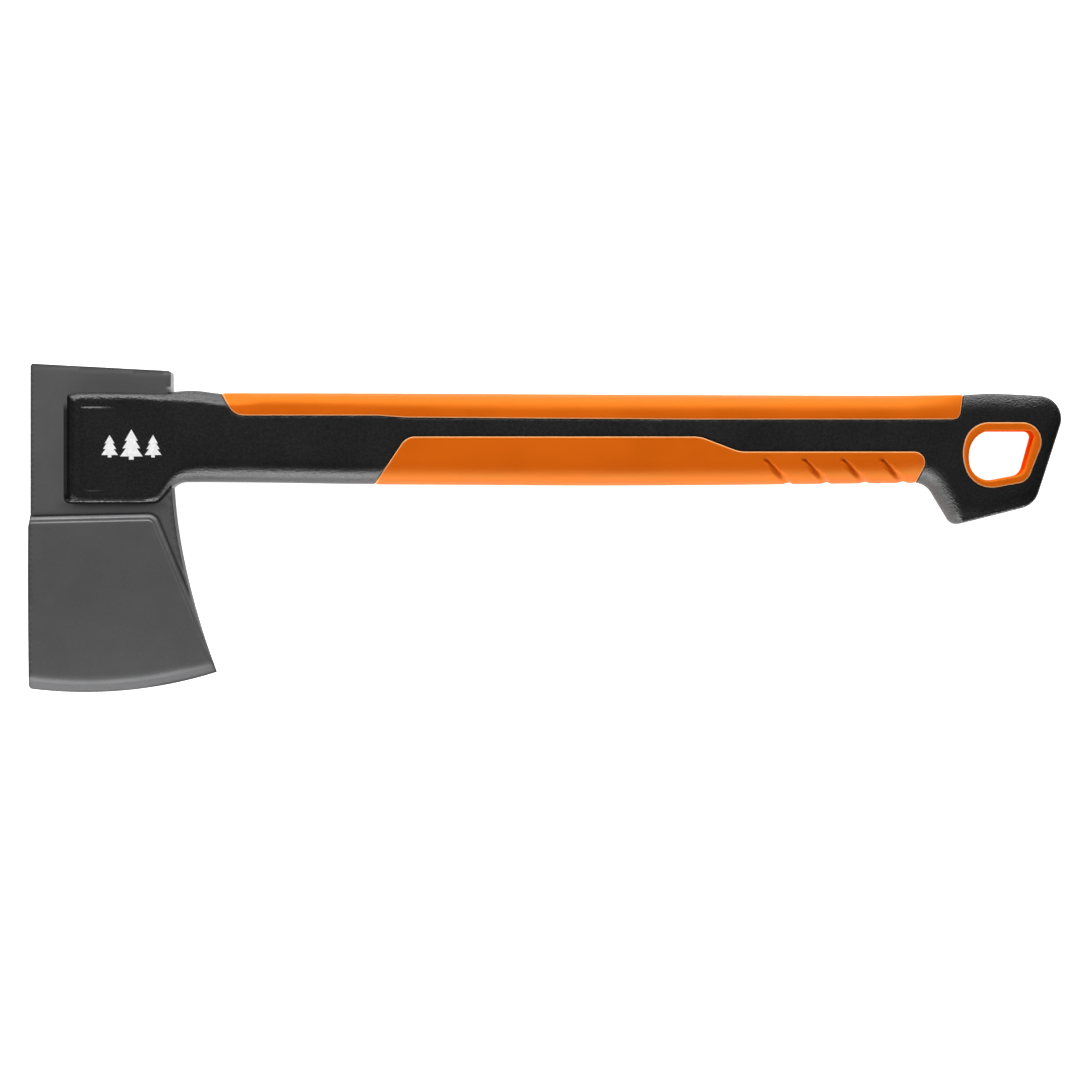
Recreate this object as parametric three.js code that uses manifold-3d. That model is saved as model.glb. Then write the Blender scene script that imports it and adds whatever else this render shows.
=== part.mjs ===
// Compact axe with a forged head and a two-colour moulded handle.
// Millimetres. The axe lies on its side: +X runs from the head to the butt of the handle, +Y from the
// cutting edge to the poll, and +Z up through the thickness. The origin is under the middle of the axe.
import * as THREE from 'three';
import { mergeVertices } from 'three/addons/utils/BufferGeometryUtils.js';
import Module from 'manifold-3d';

const wasm = await Module();
wasm.setup();

// Thickness, as half of each part's size along Z.
const SLEEVE_HALF = 15;
const SHAFT_HALF = 13.5;
const KNOB_HALF = 15;
const POLL_HALF = 12;
const WEB_HALF = 3;
const CORE_HALF = 7.5;

// Clearances and edge rounding.
const GAP = 0.3;
const CHORD_ERROR = 0.08;
const SHAFT_EDGE = 8;
const SLEEVE_EDGE = 2.1;
const KNOB_EDGE = 4;
const HEAD_EDGE = 0.9;
const LINER_EDGE = 0.8;

// Head: the poll's left and right faces, its top, and the circle that the cutting edge lies on.
const HEAD_LEFT = -220.6;
const BLADE_LEFT = -221.6;
const TOE_X = -222.2;
const POLL_RIGHT = -160.4;
const POLL_TOP_LEFT = 70.4;
const POLL_TOP_RIGHT = 67.2;
const HEEL_X = -141.15;
const EDGE_CENTRE = new THREE.Vector2(-197.95, 118.6);
const EDGE_RADIUS = 189.6;
const EDGE_LAND_HALF = 0.3;
const WEDGE_START_RADIUS = EDGE_RADIUS - 75;
const WEDGE_TIP_RADIUS = EDGE_RADIUS + 5;
const WEDGE_POWER = 1.9;
const WEDGE_STEPS = 5;
const EDGE_BEVEL_RADIUS = EDGE_RADIUS - 3.45;
const PANEL_RAISE = 0.6;
const PANEL_TOP = 5.3;
const PANEL_RIGHT = -167.5;
const DIAGONAL_FOOT_X = -151.3;
const DIAGONAL_FOOT_Y = -34.3;
const TOE_RADIUS = 1.7;
const BEARD_STEPS = 10;

// Handle: the heights of its back and belly, and the places where it changes.
const SLEEVE_LEFT = -205.9;
const SLEEVE_BOTTOM = 10.7;
const SLEEVE_TAPER_START = -162;
const SLEEVE_END = -136;
const SHAFT_START = -170;
const BACK = 57.2;
const BELLY = 18.8;
const BELLY_MIDDLE = 18.1;

// Inlays: how deep they sit, and how deep the grip's grooves are cut.
const SPINE_DEPTH = 2.2;
const GRIP_DEPTH = 2.5;
const GROOVE_DEPTH = 1.1;
const GROOVE_COUNT = 4;
const GROOVE_PITCH = 16.6;
const GROOVE_FIRST_X = 95;
const GROOVE_TOP = 29;
const GROOVE_WIDTH = 2.4;
const GRIP_TOP = 39.15;
const GRIP_REAR_TOP = 32.7;
const SPINE_FRONT_BOTTOM = 47.7;
const SPINE_REAR_BOTTOM = 46;

// Core and its pins.
const CORE_FRONT = -198;
const CORE_REAR = 170;
const CORE_BOTTOM = 30;
const CORE_TOP = 46;
const FORK_ROOT = -157;
const PIN_RADIUS = 3;
const PIN_Y = (CORE_BOTTOM + CORE_TOP) / 2;
const FRONT_PIN_X = -190;
const REAR_PIN_X = -172;
const POCKET_LEFT = -202;
const POCKET_BOTTOM = 21;
const POCKET_TOP = 54;
const PIN_SIDES = 20;

const OUTSIDE = 20; // how far a cutting shape runs past the part
const LATHE_SEGMENTS = 90;

// ---- Outlines: counter-clockwise lists of points, with each round corner drawn as an arc ----

function arc(centre, radius, from, to) {
  const widest = 2 * Math.acos(1 - CHORD_ERROR / radius);
  const steps = Math.max(1, Math.ceil(Math.abs(to - from) / widest));
  const points = [];
  for (let i = 0; i <= steps; i += 1) {
    const angle = from + ((to - from) * i) / steps;
    points.push([centre.x + radius * Math.cos(angle), centre.y + radius * Math.sin(angle)]);
  }
  return points;
}

// corners: [x, y] or [x, y, radius], in order.
function roundCorners(corners) {
  const points = [];
  corners.forEach(([x, y, radius = 0], i) => {
    const corner = new THREE.Vector2(x, y);
    if (radius === 0) {
      points.push(corner);
      return;
    }
    const before = corners[(i + corners.length - 1) % corners.length];
    const after = corners[(i + 1) % corners.length];
    const back = new THREE.Vector2(before[0], before[1]).sub(corner).normalize();
    const ahead = new THREE.Vector2(after[0], after[1]).sub(corner).normalize();
    const halfAngle = Math.acos(back.dot(ahead)) / 2;
    const reach = radius / Math.tan(halfAngle);
    const towards = back.clone().add(ahead).normalize();
    const centre = corner.clone().addScaledVector(towards, radius / Math.sin(halfAngle));
    const start = corner.clone().addScaledVector(back, reach).sub(centre).angle();
    const end = corner.clone().addScaledVector(ahead, reach).sub(centre).angle();
    const turn = Math.atan2(Math.sin(end - start), Math.cos(end - start));
    arc(centre, radius, start, start + turn).forEach(([px, py]) => points.push(new THREE.Vector2(px, py)));
  });
  return points;
}

// Moves every side of an outline outwards by a distance, or inwards when it is negative.
function grown(points, distance) {
  return points.map((point, i) => {
    const before = points[(i + points.length - 1) % points.length];
    const after = points[(i + 1) % points.length];
    const into = point.clone().sub(before).normalize();
    const onward = after.clone().sub(point).normalize();
    const normalIn = new THREE.Vector2(into.y, -into.x);
    const normalOut = new THREE.Vector2(onward.y, -onward.x);
    const mitre = normalIn.clone().add(normalOut);
    return point.clone().addScaledVector(mitre, (2 * distance) / mitre.lengthSq());
  });
}

// ---- Solids ----

function solid(geometry) {
  geometry.deleteAttribute('normal');
  geometry.deleteAttribute('uv');
  const merged = mergeVertices(geometry, 1e-4);
  const mesh = new wasm.Mesh({
    numProp: 3,
    vertProperties: merged.attributes.position.array,
    triVerts: new Uint32Array(merged.index.array),
  });
  return new wasm.Manifold(mesh);
}

// A plate of an outline, centred on Z = 0.
function slab(points, half) {
  const shape = new THREE.Shape(points);
  const geometry = new THREE.ExtrudeGeometry(shape, { depth: 2 * half, bevelEnabled: false });
  geometry.translate(0, 0, -half);
  return solid(geometry);
}

// The same with its edges rounded over, inside the outline.
function roundedSlab(points, half, edge, segments) {
  const geometry = new THREE.ExtrudeGeometry(new THREE.Shape(points), {
    depth: 2 * (half - edge),
    bevelThickness: edge,
    bevelSize: edge,
    bevelOffset: -edge,
    bevelSegments: segments,
  });
  geometry.translate(0, 0, edge - half);
  return solid(geometry);
}

function block(left, right, bottom, top, half) {
  const geometry = new THREE.BoxGeometry(right - left, top - bottom, 2 * half);
  geometry.translate((left + right) / 2, (bottom + top) / 2, 0);
  return solid(geometry);
}

function cylinder(x, y, radius, half) {
  const geometry = new THREE.CylinderGeometry(radius, radius, 2 * half, PIN_SIDES);
  geometry.rotateX(Math.PI / 2);
  geometry.translate(x, y, 0);
  return solid(geometry);
}

// ---- Head ----

const heelAngle = -Math.acos((HEEL_X - EDGE_CENTRE.x) / EDGE_RADIUS);
const toeAngle = -Math.acos((TOE_X - EDGE_CENTRE.x) / EDGE_RADIUS);
const cuttingEdge = arc(EDGE_CENTRE, EDGE_RADIUS, toeAngle, heelAngle);

// The beard's hollow curve, from the throat under the sleeve down to the heel.
const beard = new THREE.QuadraticBezierCurve(
  new THREE.Vector2(HEEL_X, cuttingEdge.at(-1)[1]),
  new THREE.Vector2(-157.6, -19),
  new THREE.Vector2(-159.8, 14),
).getPoints(BEARD_STEPS).map((point) => [point.x, point.y]);

const bladeFoot = [...cuttingEdge.slice(1, -1), ...beard];
const toe = [cuttingEdge[0][0], cuttingEdge[0][1], TOE_RADIUS];

const headOutline = roundCorners([
  toe,
  ...bladeFoot,
  [POLL_RIGHT, 20],
  [POLL_RIGHT, POLL_TOP_RIGHT, 1.2],
  [HEAD_LEFT, POLL_TOP_LEFT, 1.2],
  [HEAD_LEFT, 5.5],
  [BLADE_LEFT, 0.5],
]);

// The raised blade panel: its diagonal rear edge leaves the beard free as a lower strip.
const panelOutline = roundCorners([
  toe,
  ...bladeFoot.filter(([, y]) => y < DIAGONAL_FOOT_Y),
  [DIAGONAL_FOOT_X, DIAGONAL_FOOT_Y],
  [PANEL_RIGHT, PANEL_TOP, 4],
  [HEAD_LEFT - 0.2, PANEL_TOP - 1.3],
  [BLADE_LEFT, 0.5],
]);

// A disc round the cutting edge's centre whose cheeks curve in towards the edge and end in its bevel.
function wedge(raise) {
  const upper = [new THREE.Vector2(EDGE_RADIUS, EDGE_LAND_HALF)];
  for (let i = WEDGE_STEPS; i >= 0; i -= 1) {
    const radius = WEDGE_START_RADIUS + ((EDGE_BEVEL_RADIUS - WEDGE_START_RADIUS) * i) / WEDGE_STEPS;
    const along = (radius - WEDGE_START_RADIUS) / (WEDGE_TIP_RADIUS - WEDGE_START_RADIUS);
    upper.push(new THREE.Vector2(radius, POLL_HALF * (1 - along ** WEDGE_POWER) + raise));
  }
  upper.push(new THREE.Vector2(0, POLL_HALF + raise));
  const lower = upper.map((point) => new THREE.Vector2(point.x, -point.y)).reverse();
  const geometry = new THREE.LatheGeometry([...lower, ...upper], LATHE_SEGMENTS);
  geometry.rotateX(Math.PI / 2);
  geometry.translate(EDGE_CENTRE.x, EDGE_CENTRE.y, 0);
  return solid(geometry);
}

// The two pockets that leave a web between them, open towards the handle.
function pockets(shrink) {
  const pocket = block(
    POCKET_LEFT + shrink,
    POLL_RIGHT + OUTSIDE,
    POCKET_BOTTOM + shrink,
    POCKET_TOP - shrink,
    OUTSIDE,
  );
  const web = block(
    POCKET_LEFT - OUTSIDE,
    POLL_RIGHT + 2 * OUTSIDE,
    POCKET_BOTTOM - OUTSIDE,
    POCKET_TOP + OUTSIDE,
    WEB_HALF + shrink,
  );
  return pocket.subtract(web);
}

function pin(x, grow) {
  return cylinder(x, PIN_Y, PIN_RADIUS + grow, CORE_HALF + grow);
}

function axeHead() {
  const body = roundedSlab(headOutline, POLL_HALF, HEAD_EDGE, 1).intersect(wedge(0));
  const panel = roundedSlab(panelOutline, POLL_HALF + PANEL_RAISE, HEAD_EDGE, 1)
    .intersect(wedge(PANEL_RAISE));
  return body
    .add(panel)
    .subtract(pockets(0))
    .subtract(pin(FRONT_PIN_X, GAP))
    .subtract(pin(REAR_PIN_X, GAP));
}

// ---- Handle core: a bar with a forked front end ----

function handleCore() {
  const fork = block(
    CORE_FRONT - OUTSIDE,
    FORK_ROOT,
    CORE_BOTTOM - OUTSIDE,
    CORE_TOP + OUTSIDE,
    WEB_HALF + GAP,
  );
  return block(CORE_FRONT, CORE_REAR, CORE_BOTTOM, CORE_TOP, CORE_HALF)
    .subtract(fork)
    .subtract(pin(FRONT_PIN_X, GAP))
    .subtract(pin(REAR_PIN_X, GAP));
}

// ---- Handle ----

const shaftOutline = roundCorners([
  [SHAFT_START, BELLY + 1],
  [-130, BELLY + 0.7],
  [-95, BELLY],
  [-20, BELLY_MIDDLE],
  [45, BELLY_MIDDLE],
  [100, BELLY - 0.2],
  [150, BELLY + 0.4],
  [185, BELLY + 1],
  [185, BACK - 0.5],
  [84, BACK - 0.4],
  [-60, BACK + 0.5],
  [-137, BACK + 0.5],
  [-145, BACK + 1.1],
  [-153, BACK + 1.5],
  [SHAFT_START, BACK + 0.7],
]);

const sleeveOutline = roundCorners([
  [SLEEVE_LEFT, SLEEVE_BOTTOM, 2.3],
  [-165.7, SLEEVE_BOTTOM, 4.5],
  [-157.6, BELLY + 0.6, 8],
  [SLEEVE_END, BELLY + 0.8, 2.3],
  [SLEEVE_END, BACK + 0.3, 2.3],
  [-145, BACK + 1.1],
  [-153, BACK + 1.5],
  [-163, BACK + 0.5],
  [SLEEVE_LEFT, BACK + 0.9, 2.3],
]);

const knobOutline = roundCorners([
  [150, BELLY + 0.6, 4.3],
  [163.7, BELLY + 0.6, 9],
  [174.9, 0.8, 4.6],
  [209.9, 9.55, 10],
  [224.9, 55.5, 9.8],
  [206, BACK - 0.4],
  [192, BACK + 0.1],
  [172, BACK - 0.5],
  [150, BACK - 0.6, 4.3],
]);

const linerOutline = roundCorners([
  [183.2, 15.1, 12],
  [206.8, 19.3, 7],
  [216.9, 45.2, 8.5],
  [181.8, 45.2, 11],
  [178.2, 31, 19],
]);

const hangHoleOutline = roundCorners([
  [183.4, 18.8, 8.5],
  [205.3, 22.9, 5],
  [210.4, 41.5, 2.4],
  [183.9, 41.5, 10],
  [181.4, 30.5, 16],
]);

const spineOutline = roundCorners([
  [-133.4, SPINE_FRONT_BOTTOM, 8],
  [-71.6, SPINE_FRONT_BOTTOM],
  [-59.7, SPINE_FRONT_BOTTOM - 0.85],
  [0, SPINE_REAR_BOTTOM + 0.4],
  [62.6, SPINE_REAR_BOTTOM],
  [177.9, SPINE_REAR_BOTTOM, 3.4],
  [180.4, BACK + OUTSIDE],
  [-139.6, BACK + OUTSIDE],
  [-139.6, BACK + 0.4],
]);

const gripOutline = roundCorners([
  [-74.5, BELLY - OUTSIDE],
  [159.1, BELLY - OUTSIDE],
  [159.1, BELLY - 1],
  [166.1, GRIP_REAR_TOP, 5],
  [83.5, GRIP_REAR_TOP, 14],
  [66.6, GRIP_TOP, 14],
  [-59.5, GRIP_TOP, 7.5],
  [-73.7, BELLY - 1],
]);

// The plain shaft under its skin, at a depth below the surface.
function shaft(depth) {
  const outline = grown(shaftOutline, -depth);
  return roundedSlab(outline, SHAFT_HALF - depth, SHAFT_EDGE - depth, 4);
}

// The sleeve thins towards the shaft, as seen from above.
function sleeve() {
  const taper = new THREE.Shape([
    new THREE.Vector2(SLEEVE_LEFT - OUTSIDE, -SLEEVE_HALF),
    new THREE.Vector2(SLEEVE_TAPER_START, -SLEEVE_HALF),
    new THREE.Vector2(SLEEVE_END + GAP, GAP - SHAFT_HALF),
    new THREE.Vector2(SLEEVE_END + GAP, SHAFT_HALF - GAP),
    new THREE.Vector2(SLEEVE_TAPER_START, SLEEVE_HALF),
    new THREE.Vector2(SLEEVE_LEFT - OUTSIDE, SLEEVE_HALF),
  ]);
  const envelope = new THREE.ExtrudeGeometry(taper, { depth: 6 * OUTSIDE, bevelEnabled: false });
  envelope.rotateX(Math.PI / 2);
  envelope.translate(0, 5 * OUTSIDE, 0);
  return roundedSlab(sleeveOutline, SLEEVE_HALF, SLEEVE_EDGE, 2).intersect(solid(envelope));
}

// A skin of the shaft inside an outline, down to a depth.
function skin(outline, depth) {
  return shaft(0).intersect(slab(outline, OUTSIDE)).subtract(shaft(depth));
}

// The space that a skin needs, with the gap on every inner side.
function skinSeat(outline, depth) {
  return slab(grown(outline, GAP), OUTSIDE).subtract(shaft(depth + GAP));
}

function groove(index) {
  const x = GROOVE_FIRST_X + index * GROOVE_PITCH;
  const drop = GROOVE_TOP - BELLY + OUTSIDE;
  const slant = GROOVE_WIDTH * Math.SQRT1_2;
  return slab(roundCorners([
    [x - slant, GROOVE_TOP - slant, 0.8],
    [x + drop - slant, GROOVE_TOP - drop - slant],
    [x + drop + slant, GROOVE_TOP - drop + slant],
    [x + slant, GROOVE_TOP + slant, 0.8],
  ]), OUTSIDE);
}

function bellyGrip() {
  let grip = skin(gripOutline, GRIP_DEPTH);
  for (let i = 0; i < GROOVE_COUNT; i += 1) {
    grip = grip.subtract(groove(i).subtract(shaft(GROOVE_DEPTH)));
  }
  return grip;
}

function hangHoleLiner() {
  const ring = roundedSlab(linerOutline, KNOB_HALF, LINER_EDGE, 1);
  return ring.subtract(slab(hangHoleOutline, OUTSIDE));
}

function handleBody() {
  const headSeat = slab(grown(headOutline, GAP), POLL_HALF + GAP).subtract(pockets(GAP));
  const coreSeat = block(
    CORE_FRONT - GAP,
    CORE_REAR + GAP,
    CORE_BOTTOM - GAP,
    CORE_TOP + GAP,
    CORE_HALF + GAP,
  );
  return shaft(0)
    .add(sleeve())
    .add(roundedSlab(knobOutline, KNOB_HALF, KNOB_EDGE, 3))
    .subtract(headSeat)
    .subtract(coreSeat)
    .subtract(skinSeat(spineOutline, SPINE_DEPTH))
    .subtract(skinSeat(gripOutline, GRIP_DEPTH))
    .subtract(slab(grown(linerOutline, GAP), OUTSIDE));
}

// ---- Materials and scene ----

const coatedSteel = new THREE.MeshStandardMaterial({ color: 0x525253, roughness: 0.5, metalness: 0.55 });
const dowelSteel = new THREE.MeshStandardMaterial({ color: 0xa8abad, roughness: 0.35, metalness: 1 });
const glassFibre = new THREE.MeshStandardMaterial({ color: 0xc9b98a, roughness: 0.6, metalness: 0 });
const blackNylon = new THREE.MeshStandardMaterial({ color: 0x212122, roughness: 0.6, metalness: 0 });
const orangeRubber = new THREE.MeshStandardMaterial({ color: 0xea7a1e, roughness: 0.65, metalness: 0 });

const assembly = new THREE.Group();
assembly.position.z = SLEEVE_HALF;

function place(name, body, material) {
  const { vertProperties, triVerts } = body.getMesh();
  const geometry = new THREE.BufferGeometry();
  geometry.setAttribute('position', new THREE.BufferAttribute(vertProperties, 3));
  geometry.setIndex(new THREE.BufferAttribute(triVerts, 1));
  const mesh = new THREE.Mesh(geometry, material);
  mesh.name = name;
  assembly.add(mesh);
}

place('axe_head', axeHead(), coatedSteel);
place('handle_core', handleCore(), glassFibre);
place('front_cross_pin', pin(FRONT_PIN_X, 0), dowelSteel);
place('rear_cross_pin', pin(REAR_PIN_X, 0), dowelSteel);
place('handle_body', handleBody(), blackNylon);
place('spine_inlay', skin(spineOutline, SPINE_DEPTH), orangeRubber);
place('belly_grip', bellyGrip(), orangeRubber);
place('hang_hole_liner', hangHoleLiner(), orangeRubber);

const group = new THREE.Group();
group.add(assembly);

export default group;
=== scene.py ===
"""Looks of the compact axe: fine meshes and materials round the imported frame.

The axe's lengths are millimetres, in the frame's own X and Y, with Z measured from the axe's middle plane.
They become metres where a mesh is made, and the room is in metres. The axe is the same on both sides of its
middle plane, so most pieces are reliefs: a flat outline in triangles, with a height over each of its points.
"""
import math

import bpy
import numpy as np
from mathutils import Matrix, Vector
from mathutils.geometry import delaunay_2d_cdt


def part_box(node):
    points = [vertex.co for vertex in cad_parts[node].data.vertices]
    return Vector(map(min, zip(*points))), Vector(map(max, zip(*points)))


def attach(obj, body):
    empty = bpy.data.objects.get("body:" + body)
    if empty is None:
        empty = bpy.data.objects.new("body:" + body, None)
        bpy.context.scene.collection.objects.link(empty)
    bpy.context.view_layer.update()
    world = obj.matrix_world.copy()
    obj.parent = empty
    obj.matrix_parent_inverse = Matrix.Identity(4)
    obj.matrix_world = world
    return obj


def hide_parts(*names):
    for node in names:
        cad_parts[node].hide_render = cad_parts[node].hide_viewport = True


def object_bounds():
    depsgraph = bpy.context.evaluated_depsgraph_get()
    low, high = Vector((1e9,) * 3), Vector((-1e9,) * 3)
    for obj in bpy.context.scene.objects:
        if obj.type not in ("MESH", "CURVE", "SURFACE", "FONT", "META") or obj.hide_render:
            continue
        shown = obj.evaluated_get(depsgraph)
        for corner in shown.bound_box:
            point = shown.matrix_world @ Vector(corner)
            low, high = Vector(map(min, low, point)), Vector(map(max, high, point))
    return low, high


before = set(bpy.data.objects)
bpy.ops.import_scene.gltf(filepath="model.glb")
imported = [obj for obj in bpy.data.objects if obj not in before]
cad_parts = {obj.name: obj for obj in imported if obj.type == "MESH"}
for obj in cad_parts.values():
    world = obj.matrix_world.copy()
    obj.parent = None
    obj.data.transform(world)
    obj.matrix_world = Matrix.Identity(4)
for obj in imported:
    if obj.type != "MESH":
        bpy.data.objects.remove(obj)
cad_box = [list(corner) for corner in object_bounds()]

MM = 0.001
BODY = "root"
PINS = ("front_cross_pin", "rear_cross_pin")


def box_mm(node):
    """A CAD node's lowest and highest corners in millimetres."""
    low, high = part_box(node)
    return np.array(low) / MM, np.array(high) / MM


HEAD_LOW, HEAD_HIGH = box_mm("axe_head")
HANDLE_LOW, HANDLE_HIGH = box_mm("handle_body")
CORE_LOW, CORE_HIGH = box_mm("handle_core")
MIDDLE = (HANDLE_LOW[2] + HANDLE_HIGH[2]) / 2
FULL_HALF = (HANDLE_HIGH[2] - HANDLE_LOW[2]) / 2
OUTSIDE = 20  # how far a cutting shape runs past the piece
ARC_STEP = 0.8  # the longest side of a round corner
LOOP_STEP = 0.8  # the longest side of most outlines, once they are cut up
BATCH = 4000  # points measured at once, to keep the memory small
ROW_HEIGHT = 0.866  # between a lattice's rows, as a share of its spacing

# ---------------------------------------------------------------- lines on the plane


def arc(centre, radius, start, end, step=ARC_STEP):
    """Points along an arc, no further apart than step."""
    count = max(2, math.ceil(abs(end - start) * radius / step) + 1)
    angles = np.linspace(start, end, count)
    return np.array(centre) + radius * np.stack([np.cos(angles), np.sin(angles)], axis=1)


def round_corners(corners):
    """A closed outline through (x, y) or (x, y, radius) corners, listed counter-clockwise."""
    points = []
    for i, corner in enumerate(corners):
        here = np.array(corner[:2], float)
        radius = corner[2] if len(corner) > 2 else 0
        if radius == 0:
            points.append(here[None])
            continue
        back = np.array(corners[i - 1][:2]) - here
        ahead = np.array(corners[(i + 1) % len(corners)][:2]) - here
        back /= np.linalg.norm(back)
        ahead /= np.linalg.norm(ahead)
        half = math.acos(back @ ahead) / 2
        towards = (back + ahead) / np.linalg.norm(back + ahead)
        centre = here + towards * radius / math.sin(half)
        first = here + back * radius / math.tan(half) - centre
        last = here + ahead * radius / math.tan(half) - centre
        start = math.atan2(first[1], first[0])
        turn = math.atan2(first[0] * last[1] - first[1] * last[0], first @ last)
        points.append(arc(centre, radius, start, start + turn, min(ARC_STEP, radius / 4)))
    return np.concatenate(points)


def even(loop, spacing):
    """The same closed line, its sides cut no longer than spacing: one number, or one for each side."""
    ends = np.roll(loop, -1, axis=0)
    spacing = np.broadcast_to(spacing, len(loop))
    pieces = []
    for a, b, longest in zip(loop, ends, spacing):
        count = max(1, math.ceil(np.linalg.norm(b - a) / longest))
        pieces.append(a + (b - a) * (np.arange(count) / count)[:, None])
    return np.concatenate(pieces)


def smooth(knots, step=2.0):
    """A Catmull-Rom curve through the knots."""
    k = np.array(knots, float)
    k = np.concatenate([2 * k[:1] - k[1:2], k, 2 * k[-1:] - k[-2:-1]])
    pieces = []
    for i in range(1, len(k) - 2):
        count = max(2, math.ceil(np.linalg.norm(k[i + 1] - k[i]) / step))
        t = (np.arange(count) / count)[:, None]
        a, b, c, d = k[i - 1], k[i], k[i + 1], k[i + 2]
        bend = 2 * a - 5 * b + 4 * c - d
        pieces.append(0.5 * (2 * b + (c - a) * t + bend * t**2 + (3 * b - a - 3 * c + d) * t**3))
    pieces.append(k[-2][None])
    return np.concatenate(pieces)


def grown(loop, distance):
    """Every point of a counter-clockwise loop moved outwards, so that its sides stay parallel."""
    into = loop - np.roll(loop, 1, axis=0)
    onward = np.roll(loop, -1, axis=0) - loop
    a = np.stack([into[:, 1], -into[:, 0]], axis=1) / np.linalg.norm(into, axis=1)[:, None]
    b = np.stack([onward[:, 1], -onward[:, 0]], axis=1) / np.linalg.norm(onward, axis=1)[:, None]
    mitre = a + b
    reach = 2 * np.broadcast_to(distance, len(loop)) / (mitre**2).sum(axis=1)
    return loop + mitre * reach[:, None]


def distance_to(points, loop):
    """Distance from each point to the nearest place on a closed line."""
    side = np.roll(loop, -1, axis=0) - loop
    length = np.maximum((side**2).sum(axis=1), 1e-12)
    nearest = np.empty(len(points))
    for at in range(0, len(points), BATCH):
        to = points[at : at + BATCH, None] - loop[None]
        share = np.clip((to * side).sum(axis=2) / length, 0, 1)
        gap = to - share[..., None] * side
        nearest[at : at + BATCH] = np.sqrt((gap**2).sum(axis=2).min(axis=1))
    return nearest


def inside(points, loop):
    """Whether each point is inside a closed line."""
    x0, y0 = loop[:, 0], loop[:, 1]
    x1, y1 = np.roll(x0, -1), np.roll(y0, -1)
    run = np.where(y1 == y0, 1, y1 - y0)
    found = np.zeros(len(points), bool)
    for at in range(0, len(points), BATCH):
        px, py = points[at : at + BATCH, :1], points[at : at + BATCH, 1:]
        crosses = (y0 > py) != (y1 > py)
        where = x0 + (py - y0) * (x1 - x0) / run
        found[at : at + BATCH] = (crosses & (px < where)).sum(axis=1) % 2 == 1
    return found


def depth_in(points, loop):
    """Distance to a closed line, positive inside it."""
    return np.where(inside(points, loop), 1, -1) * distance_to(points, loop)


def lattice(loop, spacing):
    """Points of a triangular lattice that are inside a loop."""
    low, high = loop.min(axis=0), loop.max(axis=0)
    x, y = np.meshgrid(np.arange(low[0], high[0], spacing), np.arange(low[1], high[1], spacing * ROW_HEIGHT))
    x = x + (np.arange(len(x)) % 2)[:, None] * spacing / 2
    points = np.stack([x.ravel(), y.ravel()], axis=1)
    return points[inside(points, loop)]


def ease(t):
    """0 up to t = 0, 1 from t = 1, and smooth between them."""
    t = np.clip(t, 0, 1)
    return t * t * (3 - 2 * t)


def along(x, *stops):
    """A value that eases from one (x, value) stop to the next."""
    value = np.full(np.shape(x), float(stops[0][1]))
    for (x0, v0), (x1, v1) in zip(stops, stops[1:]):
        value = value + (v1 - v0) * ease((x - x0) / (x1 - x0))
    return value


def rounded_edge(depth, reach, drop):
    """How far a rounded-over edge falls below its flat, at a depth inside the outline."""
    out = 1 - np.clip(depth / reach, 0, 1)
    return drop * (1 - np.sqrt(np.maximum(0, 1 - out**2)))


def bevelled_edge(depth, reach, bend, slope, rim, rim_drop):
    """How far an edge falls that bends over, a reach in, and slopes straight to a small round at the rim."""
    out = np.maximum(reach - depth, 0)
    straight = slope * np.where(out < bend, out**2 / (2 * bend), out - bend / 2)
    return straight + rounded_edge(depth, rim, rim_drop)


# ---------------------------------------------------------------- outlines

# Head
EDGE_CENTRE = np.array([-197.95, 118.6])
EDGE_RADIUS = 189.54
BEVEL_WIDTH = 3.45
WEDGE_LENGTH = 75.0
WEDGE_SWELL = 1.9  # above 1 the cheeks are convex
TOE_X = HEAD_LOW[0]
BLADE_LEFT = TOE_X + 0.6
HEAD_LEFT = TOE_X + 1.6
POLL_RIGHT = -160.4
HEEL_X = -141.2
POLL_HALF = 12.0
EDGE_HALF = 0.28
PANEL_CORNER = (-167.4, 5.05)
PANEL_SLOPE = 0.409  # how far the blade panel's rear edge runs back for each millimetre down
PANEL_LEFT, PANEL_BOTTOM = -250, -100  # past the head, which ends the panel there
BEARD_BEND, BEARD_END = np.array([-157.6, -19.0]), np.array([-159.8, 14.0])
POCKET_LEFT, POCKET_BOTTOM, POCKET_TOP = -202, 21, 54


def edge_angle(x):
    """The cutting edge's angle about its centre at some X."""
    return -math.acos((x - EDGE_CENTRE[0]) / EDGE_RADIUS)


cutting_edge = arc(EDGE_CENTRE, EDGE_RADIUS, edge_angle(TOE_X), edge_angle(HEEL_X), 1.0)
beard_t = np.linspace(0, 1, 60)[1:, None]
beard = (
    cutting_edge[-1] * (1 - beard_t) ** 2
    + BEARD_BEND * 2 * beard_t * (1 - beard_t)
    + BEARD_END * beard_t**2
)
HEAD = round_corners([
    (*cutting_edge[0], 1.7),
    *cutting_edge[1:],
    *beard,
    (POLL_RIGHT, 20),
    (POLL_RIGHT, HEAD_HIGH[1] - 3.2, 1.3),
    (HEAD_LEFT, HEAD_HIGH[1], 1.3),
    (HEAD_LEFT, 5.5),
    (BLADE_LEFT, 0.3),
])
PANEL = round_corners([
    (*PANEL_CORNER, 4),
    (PANEL_LEFT, 3.15),
    (PANEL_LEFT, PANEL_BOTTOM),
    (PANEL_CORNER[0] + PANEL_SLOPE * (PANEL_CORNER[1] - PANEL_BOTTOM), PANEL_BOTTOM),
])
POCKET = np.array([
    (POCKET_LEFT, POCKET_BOTTOM),
    (POLL_RIGHT + OUTSIDE, POCKET_BOTTOM),
    (POLL_RIGHT + OUTSIDE, POCKET_TOP),
    (POCKET_LEFT, POCKET_TOP),
])
WEB_HALF = 3.0
PIN_Y = (CORE_LOW[1] + CORE_HIGH[1]) / 2
PIN_HOLE_RADIUS = 3.25
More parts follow.
